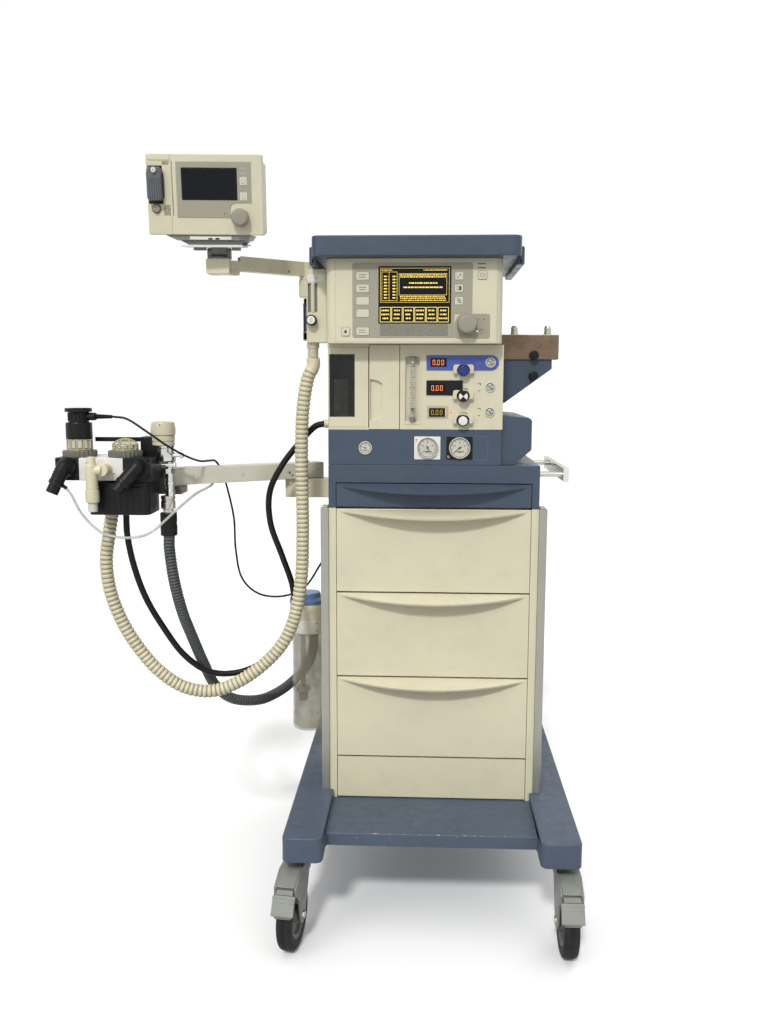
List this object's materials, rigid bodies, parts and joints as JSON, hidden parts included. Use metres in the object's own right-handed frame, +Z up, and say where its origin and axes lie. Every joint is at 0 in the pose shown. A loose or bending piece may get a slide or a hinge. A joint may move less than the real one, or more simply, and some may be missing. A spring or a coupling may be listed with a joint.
{
  "type": "anesthesia machine",
  "caption": "Wheeled anesthesia machine with a drawer cabinet, gas controls, ventilator, side monitor on an arm, and a breathing system with its hoses.",
  "frame": {"origin": "centre of the machine's bounding box without its hoses, on the floor", "axes": "+X to the machine's right seen from the front, +Y to its back, +Z up"},
  "size_m": [0.9542, 0.746, 1.4062],
  "materials": {
    "blue_paint": "satin",
    "aluminium": "anodised",
    "cream_paint": "satin",
    "blue_plastic": "satin",
    "dial": "gloss",
    "cream_plastic": "satin",
    "clear": "clear",
    "foil": "matt",
    "bar_metal": "brushed",
    "steel": "brushed",
    "smoky": "clear",
    "cream_rubber": "matt",
    "black_rubber": "satin",
    "grey_rubber": "matt",
    "knob_grey": "matt",
    "caster_grey": "satin",
    "tyre": "matt",
    "navy_plastic": "satin",
    "black_plastic": "satin",
    "white_plastic": "satin",
    "chrome": "polished"
  },
  "bodies": {
    "machine": {"base_frame": "blue_paint", "side_columns": "aluminium", "cabinet_shell": "cream_paint", "cabinet_top": "blue_paint", "gauge_housing": "blue_plastic", "pressure_gauges": "dial", "head_housing": "cream_paint", "access_panel": "cream_plastic", "flow_panel": "cream_plastic", "flow_tube": "clear", "ventilator_cylinder": "clear", "control_housing": "cream_plastic", "control_panel": "foil", "top_shelf": "blue_plastic", "oxygen_flowmeter": "cream_plastic", "vaporizer_bracket": "blue_plastic", "vaporizer_bar": "bar_metal", "equipment_rail": "steel", "arm_brackets": "cream_paint", "scavenger_jar": "smoky", "scavenger_head": "cream_plastic", "ventilator_hose": "cream_rubber", "fresh_gas_hose": "black_rubber", "scavenging_hose": "grey_rubber", "sensor_cable": "black_rubber"},
    "blue_drawer": {"blue_drawer": "blue_plastic"},
    "upper_drawer": {"upper_drawer": "cream_plastic"},
    "middle_drawer": {"middle_drawer": "cream_plastic"},
    "lower_drawer": {"lower_drawer": "cream_plastic"},
    "ventilator_door": {"ventilator_door": "cream_plastic"},
    "ventilator_piston": {"ventilator_piston": "knob_grey"},
    "front_left_fork": {"front_left_fork": "caster_grey"},
    "front_right_fork": {"front_right_fork": "caster_grey"},
    "rear_left_fork": {"rear_left_fork": "caster_grey"},
    "rear_right_fork": {"rear_right_fork": "caster_grey"},
    "front_left_wheel": {"front_left_wheel": "tyre"},
    "front_right_wheel": {"front_right_wheel": "tyre"},
    "rear_left_wheel": {"rear_left_wheel": "tyre"},
    "rear_right_wheel": {"rear_right_wheel": "tyre"},
    "left_brake_pedal": {"left_brake_pedal": "caster_grey"},
    "right_brake_pedal": {"right_brake_pedal": "caster_grey"},
    "blue_flow_knob": {"blue_flow_knob": "navy_plastic"},
    "black_flow_knob": {"black_flow_knob": "black_plastic"},
    "white_flow_knob": {"white_flow_knob": "white_plastic"},
    "auxiliary_knob": {"auxiliary_knob": "white_plastic"},
    "control_knob": {"control_knob": "knob_grey"},
    "monitor_arm": {"monitor_arm": "aluminium"},
    "monitor_swivel": {"monitor_swivel": "steel"},
    "monitor_case": {"monitor_case": "cream_plastic"},
    "monitor_knob": {"monitor_knob": "knob_grey"},
    "water_trap": {"water_trap": "caster_grey"},
    "absorber_canister": {"absorber_canister": "black_plastic"},
    "relief_knob": {"relief_knob": "cream_plastic"},
    "breathing_arm": {"breathing_arm": "aluminium", "breathing_block": "white_plastic", "hose_elbows": "black_plastic", "relief_valve": "chrome", "valve_domes": "clear", "oxygen_sensor": "black_plastic", "sampling_line": "clear"}
  },
  "joints": [
    {"name": "blue_drawer_slide", "type": "slide", "parent": "machine", "child": "blue_drawer", "axis": [0, -1, 0], "range_m": [0, 0.26]},
    {"name": "upper_drawer_slide", "type": "slide", "parent": "machine", "child": "upper_drawer", "axis": [0, -1, 0], "range_m": [0, 0.26]},
    {"name": "middle_drawer_slide", "type": "slide", "parent": "machine", "child": "middle_drawer", "axis": [0, -1, 0], "range_m": [0, 0.26]},
    {"name": "lower_drawer_slide", "type": "slide", "parent": "machine", "child": "lower_drawer", "axis": [0, -1, 0], "range_m": [0, 0.26]},
    {"name": "ventilator_door_hinge", "type": "hinge", "parent": "machine", "child": "ventilator_door", "pos_m": [0.019, -0.108, 1.005], "axis": [0, 0, -1], "range_deg": [0, 100]},
    {"name": "piston_stroke", "type": "slide", "parent": "machine", "child": "ventilator_piston", "axis": [0, 0, 1], "range_m": [0, 0.055]},
    {"name": "front_left_swivel", "type": "hinge", "parent": "machine", "child": "front_left_fork", "pos_m": [-0.033, -0.268, 0.17], "axis": [0, 0, 1], "continuous": true},
    {"name": "front_left_roll", "type": "hinge", "parent": "front_left_fork", "child": "front_left_wheel", "pos_m": [-0.03787, -0.30266, 0.0625], "axis": [0.9903, -0.1392, 0], "continuous": true},
    {"name": "front_right_swivel", "type": "hinge", "parent": "machine", "child": "front_right_fork", "pos_m": [0.457, -0.268, 0.17], "axis": [0, 0, 1], "continuous": true},
    {"name": "front_right_roll", "type": "hinge", "parent": "front_right_fork", "child": "front_right_wheel", "pos_m": [0.457, -0.303, 0.0625], "axis": [1, 0, 0], "continuous": true},
    {"name": "rear_left_swivel", "type": "hinge", "parent": "machine", "child": "rear_left_fork", "pos_m": [-0.016, 0.276, 0.17], "axis": [0, 0, 1], "continuous": true},
    {"name": "rear_left_roll", "type": "hinge", "parent": "rear_left_fork", "child": "rear_left_wheel", "pos_m": [-0.01113, 0.31066, 0.0625], "axis": [-0.9903, 0.1392, 0], "continuous": true},
    {"name": "rear_right_swivel", "type": "hinge", "parent": "machine", "child": "rear_right_fork", "pos_m": [0.44, 0.276, 0.17], "axis": [0, 0, 1], "continuous": true},
    {"name": "rear_right_roll", "type": "hinge", "parent": "rear_right_fork", "child": "rear_right_wheel", "pos_m": [0.43513, 0.31066, 0.0625], "axis": [-0.9903, -0.1392, 0], "continuous": true},
    {"name": "left_brake_pedal_hinge", "type": "hinge", "parent": "front_left_fork", "child": "left_brake_pedal", "pos_m": [-0.04274, -0.33732, 0.126], "axis": [-0.9903, 0.1392, 0], "range_deg": [0, 18]},
    {"name": "right_brake_pedal_hinge", "type": "hinge", "parent": "front_right_fork", "child": "right_brake_pedal", "pos_m": [0.457, -0.338, 0.126], "axis": [-1, 0, 0], "range_deg": [0, 18]},
    {"name": "blue_flow_knob_turn", "type": "hinge", "parent": "machine", "child": "blue_flow_knob", "pos_m": [0.265, -0.116, 1.036], "axis": [0, 1, 0], "range_deg": [0, 540]},
    {"name": "black_flow_knob_turn", "type": "hinge", "parent": "machine", "child": "black_flow_knob", "pos_m": [0.265, -0.116, 0.989], "axis": [0, 1, 0], "range_deg": [0, 540]},
    {"name": "white_flow_knob_turn", "type": "hinge", "parent": "machine", "child": "white_flow_knob", "pos_m": [0.265, -0.116, 0.944], "axis": [0, 1, 0], "range_deg": [0, 540]},
    {"name": "auxiliary_knob_turn", "type": "hinge", "parent": "machine", "child": "auxiliary_knob", "pos_m": [-0.017, -0.104, 1.128], "axis": [0, 1, 0], "range_deg": [0, 540]},
    {"name": "control_knob_turn", "type": "hinge", "parent": "machine", "child": "control_knob", "pos_m": [0.269, -0.15, 1.118], "axis": [0, 1, 0], "continuous": true},
    {"name": "monitor_arm_swing", "type": "hinge", "parent": "machine", "child": "monitor_arm", "pos_m": [-0.034, -0.034, 1.22], "axis": [0, 0, 1], "range_deg": [-30, 20]},
    {"name": "monitor_turn", "type": "hinge", "parent": "monitor_arm", "child": "monitor_swivel", "pos_m": [-0.177, -0.156, 1.22], "axis": [0, 0, 1], "range_deg": [-45, 45]},
    {"name": "monitor_tilt", "type": "hinge", "parent": "monitor_swivel", "child": "monitor_case", "pos_m": [-0.177, -0.156, 1.245], "axis": [0.9976, 0.0698, 0], "range_deg": [-17, 8]},
    {"name": "monitor_knob_turn", "type": "hinge", "parent": "monitor_case", "child": "monitor_knob", "pos_m": [-0.12533, -0.22116, 1.29501], "axis": [-0.0692, 0.9901, 0.1219], "continuous": true},
    {"name": "water_trap_release", "type": "slide", "parent": "monitor_case", "child": "water_trap", "axis": [0.0692, -0.9901, -0.1219], "range_m": [0, 0.03]},
    {"name": "breathing_arm_swing", "type": "hinge", "parent": "machine", "child": "breathing_arm", "pos_m": [-0.052, 0.032, 0.836], "axis": [0, 0, 1], "range_deg": [-20, 25], "deforming": ["ventilator_hose", "fresh_gas_hose", "scavenging_hose", "sensor_cable"]},
    {"name": "canister_release", "type": "slide", "parent": "breathing_arm", "child": "absorber_canister", "axis": [0, 0, -1], "range_m": [0, 0.025]},
    {"name": "relief_knob_turn", "type": "hinge", "parent": "breathing_arm", "child": "relief_knob", "pos_m": [-0.288, -0.161, 0.93], "axis": [0, 0, 1], "range_deg": [0, 270]}
  ]
}
